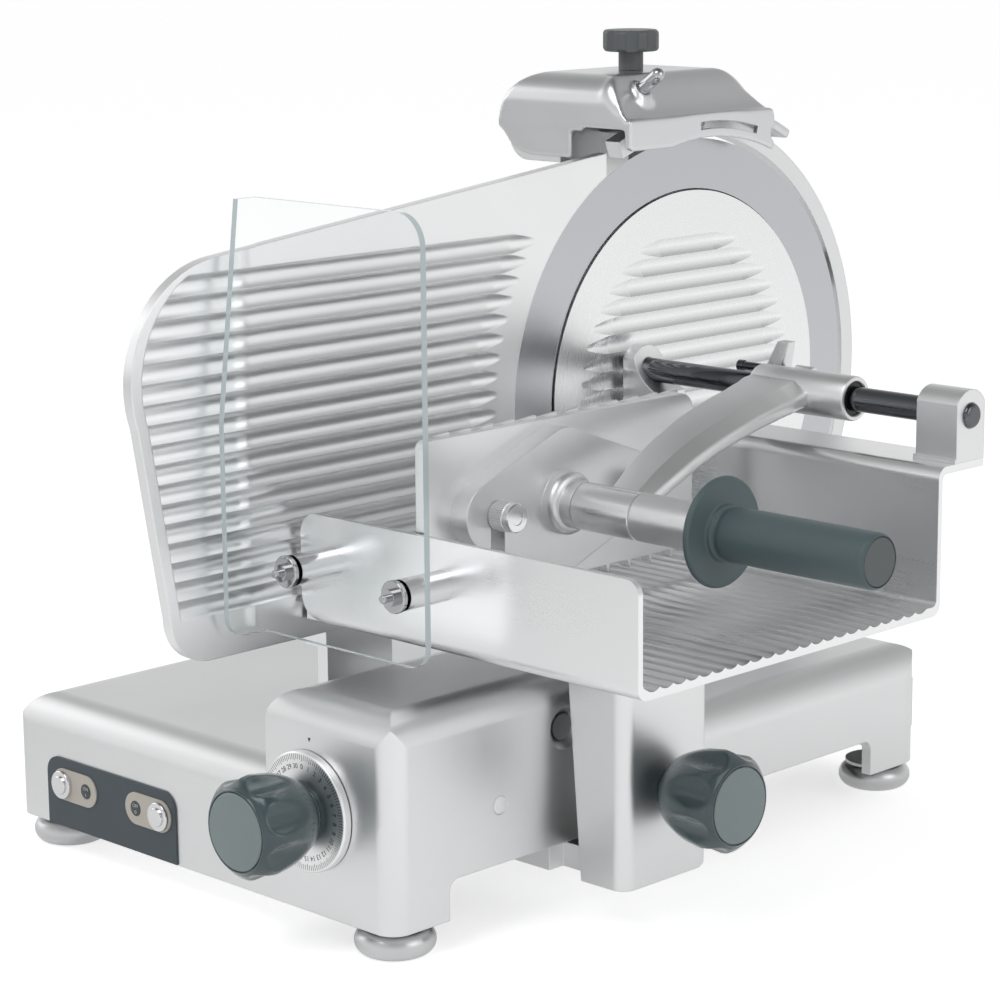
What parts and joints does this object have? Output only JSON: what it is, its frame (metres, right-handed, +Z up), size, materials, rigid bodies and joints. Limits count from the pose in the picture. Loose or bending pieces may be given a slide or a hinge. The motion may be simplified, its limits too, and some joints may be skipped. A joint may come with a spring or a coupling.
{
  "type": "vertical meat slicer",
  "caption": "Vertical meat slicer: round blade, fluted gauge plate set by a dial, hand-pushed tray with swinging press arm and clear guard, sharpener on top.",
  "frame": {"origin": "on the table, under the middle of the part's outer box", "axes": "+X to the operator's right, across the blade; +Y away from the operator, the way the carriage is pushed; +Z up"},
  "size_m": [0.616, 0.6934, 0.5453],
  "materials": {
    "cast_aluminium": "satin",
    "plate_aluminium": "brushed",
    "steel": "polished",
    "dark_chrome": "polished",
    "knob_plastic": "gloss",
    "grip_plastic": "fine grain",
    "grey_plastic": "satin",
    "panel_plastic": "satin",
    "pale_plastic": "matt",
    "black_rubber": "matt",
    "black_plastic": "matt",
    "motor_paint": "satin",
    "clear_acrylic": "clear",
    "bronze": "satin",
    "foot_metal": "satin",
    "coarse_stone": "rough",
    "fine_stone": "rough"
  },
  "bodies": {
    "base": {"base_casting": "cast_aluminium", "bottom_plate": "plate_aluminium", "feet": "foot_metal", "foot_studs": "steel", "plate_screws": "steel", "control_panel": "panel_plastic", "pill_surrounds": "pale_plastic", "switch_bodies": "steel", "cord_gland": "black_plastic", "side_screws": "steel", "gauge_rods": "steel", "guide_rods": "steel", "blade_support": "cast_aluminium", "blade_bearings": "steel", "drive_cover": "cast_aluminium", "motor_cover": "cast_aluminium", "motor": "motor_paint", "drive_belt": "black_rubber", "blade_cover": "plate_aluminium", "guard_ring": "cast_aluminium", "slice_deflector": "plate_aluminium", "sharpener_base": "cast_aluminium", "dial_bush": "bronze"},
    "blade": {"blade_shaft": "steel", "blade": "steel", "blade_screws": "steel", "blade_pulley": "plate_aluminium"},
    "motor_rotor": {"motor_pulley": "plate_aluminium"},
    "cover_knob": {"cover_knob": "knob_plastic"},
    "on_button": {"on_button": "steel"},
    "off_button": {"off_button": "steel"},
    "dial": {"dial_disc": "plate_aluminium", "dial_knob": "knob_plastic", "dial_cam": "steel"},
    "gauge": {"gauge_plate": "plate_aluminium", "gauge_slide": "cast_aluminium", "gauge_screws": "steel"},
    "hood": {"sharpener_hood": "cast_aluminium", "stone_carrier": "cast_aluminium"},
    "hood_knob": {"sharpener_knob": "grey_plastic"},
    "hood_pin": {"sharpener_pin": "steel"},
    "grinding_wheel": {"grinding_wheel": "coarse_stone"},
    "honing_wheel": {"honing_wheel": "fine_stone"},
    "carriage": {"carriage_foot": "cast_aluminium", "foot_bushes": "bronze", "carriage_column": "cast_aluminium", "carriage_tray": "plate_aluminium", "rod_pillars": "cast_aluminium", "press_rod": "dark_chrome", "guard_pegs": "steel", "blade_guard": "clear_acrylic", "guard_nuts": "steel"},
    "lock_knob": {"lock_knob": "knob_plastic"},
    "press_slider": {"press_bushes": "black_plastic"},
    "press": {"press_arm": "cast_aluminium", "press_plate": "plate_aluminium", "press_bracket": "plate_aluminium", "plate_knobs": "steel", "press_grip": "grip_plastic"},
    "latch": {"latch_pin": "steel"}
  },
  "joints": [
    {"name": "blade_spin", "type": "hinge", "parent": "base", "child": "blade", "pos_m": [-0.066, 0.15575, 0.294], "axis": [1, 0, 0], "continuous": true},
    {"name": "motor_spin", "type": "hinge", "parent": "base", "child": "motor_rotor", "pos_m": [-0.126, 0.18175, 0.15], "axis": [1, 0, 0], "continuous": true},
    {"name": "cover_knob_turn", "type": "hinge", "parent": "base", "child": "cover_knob", "pos_m": [-0.156, 0.15575, 0.294], "axis": [1, 0, 0], "continuous": true},
    {"name": "on_press", "type": "slide", "parent": "base", "child": "on_button", "axis": [0, 1, 0], "range_m": [0, 0.0025], "stiffness_N_per_m": 300, "springref_m": -0.001},
    {"name": "off_press", "type": "slide", "parent": "base", "child": "off_button", "axis": [0, 1, 0], "range_m": [0, 0.0025], "stiffness_N_per_m": 300, "springref_m": -0.001},
    {"name": "dial_turn", "type": "hinge", "parent": "base", "child": "dial", "pos_m": [-0.0028, -0.27425, 0.0865], "axis": [0, -1, 0], "range_deg": [0, 340]},
    {"name": "gauge_move", "type": "slide", "parent": "base", "child": "gauge", "axis": [1, 0, 0], "range_m": [-0.0221, 0]},
    {"name": "hood_lift", "type": "slide", "parent": "base", "child": "hood", "axis": [0, 0, 1], "range_m": [0, 0.04]},
    {"name": "hood_knob_turn", "type": "hinge", "parent": "hood", "child": "hood_knob", "pos_m": [-0.098, 0.13075, 0.53], "axis": [0, 0, 1], "continuous": true},
    {"name": "hood_pin_press", "type": "slide", "parent": "hood", "child": "hood_pin", "axis": [-0.8192, 0, -0.5736], "range_m": [0, 0.006], "stiffness_N_per_m": 400, "springref_m": -0.002},
    {"name": "grinding_spin", "type": "hinge", "parent": "hood", "child": "grinding_wheel", "pos_m": [-0.092, 0.17375, 0.488], "axis": [1, 0, 0], "continuous": true},
    {"name": "honing_spin", "type": "hinge", "parent": "hood", "child": "honing_wheel", "pos_m": [-0.062, 0.15375, 0.484], "axis": [1, 0, 0], "continuous": true},
    {"name": "carriage_slide", "type": "slide", "parent": "base", "child": "carriage", "axis": [0, 1, 0], "range_m": [-0.095, 0.23]},
    {"name": "lock_turn", "type": "hinge", "parent": "carriage", "child": "lock_knob", "pos_m": [0.144, -0.08025, 0.0868], "axis": [1, 0, 0], "continuous": true},
    {"name": "press_slide", "type": "slide", "parent": "carriage", "child": "press_slider", "axis": [1, 0, 0], "range_m": [-0.045, 0.055]},
    {"name": "press_swing", "type": "hinge", "parent": "press_slider", "child": "press", "pos_m": [0.09, 0.09825, 0.313], "axis": [1, 0, 0], "range_deg": [-100, 0]},
    {"name": "latch_pull", "type": "slide", "parent": "press", "child": "latch", "axis": [1, 0, 0], "range_m": [0, 0.008]}
  ],
  "couplings": [
    {"joint": "motor_spin", "follows": "blade_spin", "ratio": 2.25},
    {"joint": "gauge_move", "follows": "dial_turn", "m_per_rad": -0.0037074}
  ]
}
